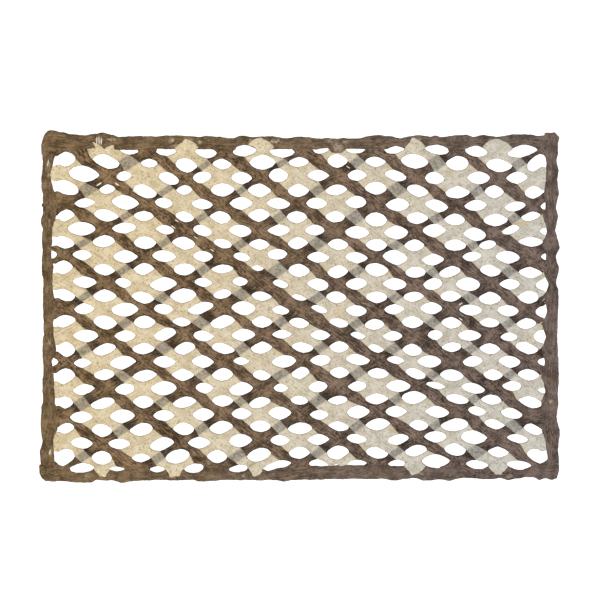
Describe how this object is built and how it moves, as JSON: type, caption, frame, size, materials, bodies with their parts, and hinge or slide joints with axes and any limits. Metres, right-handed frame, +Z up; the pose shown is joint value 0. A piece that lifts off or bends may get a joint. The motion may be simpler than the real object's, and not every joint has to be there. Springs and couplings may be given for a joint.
{
  "type": "openwork bark paper sheet",
  "caption": "Flat rectangular sheet of bark paper: crossed brown and cream bark strips beaten into an open lattice inside a brown strip border.",
  "frame": {"origin": "on the surface the sheet lies on, under the middle of its outline", "axes": "+X along the long side, +Y along the short side towards the top border, +Z up out of the sheet's face"},
  "size_m": [0.583, 0.395, 0.0024],
  "materials": {
    "border_bark": "matt beaten brown bark fibre",
    "brown_bark": "matt beaten brown bark fibre",
    "cream_bark": "matt beaten cream bark fibre"
  },
  "bodies": {
    "root": {"border_top": "border_bark", "border_right": "border_bark", "border_bottom": "border_bark", "border_left": "border_bark", "brown_lattice": "brown_bark", "cream_lattice": "cream_bark"}
  },
  "joints": []
}
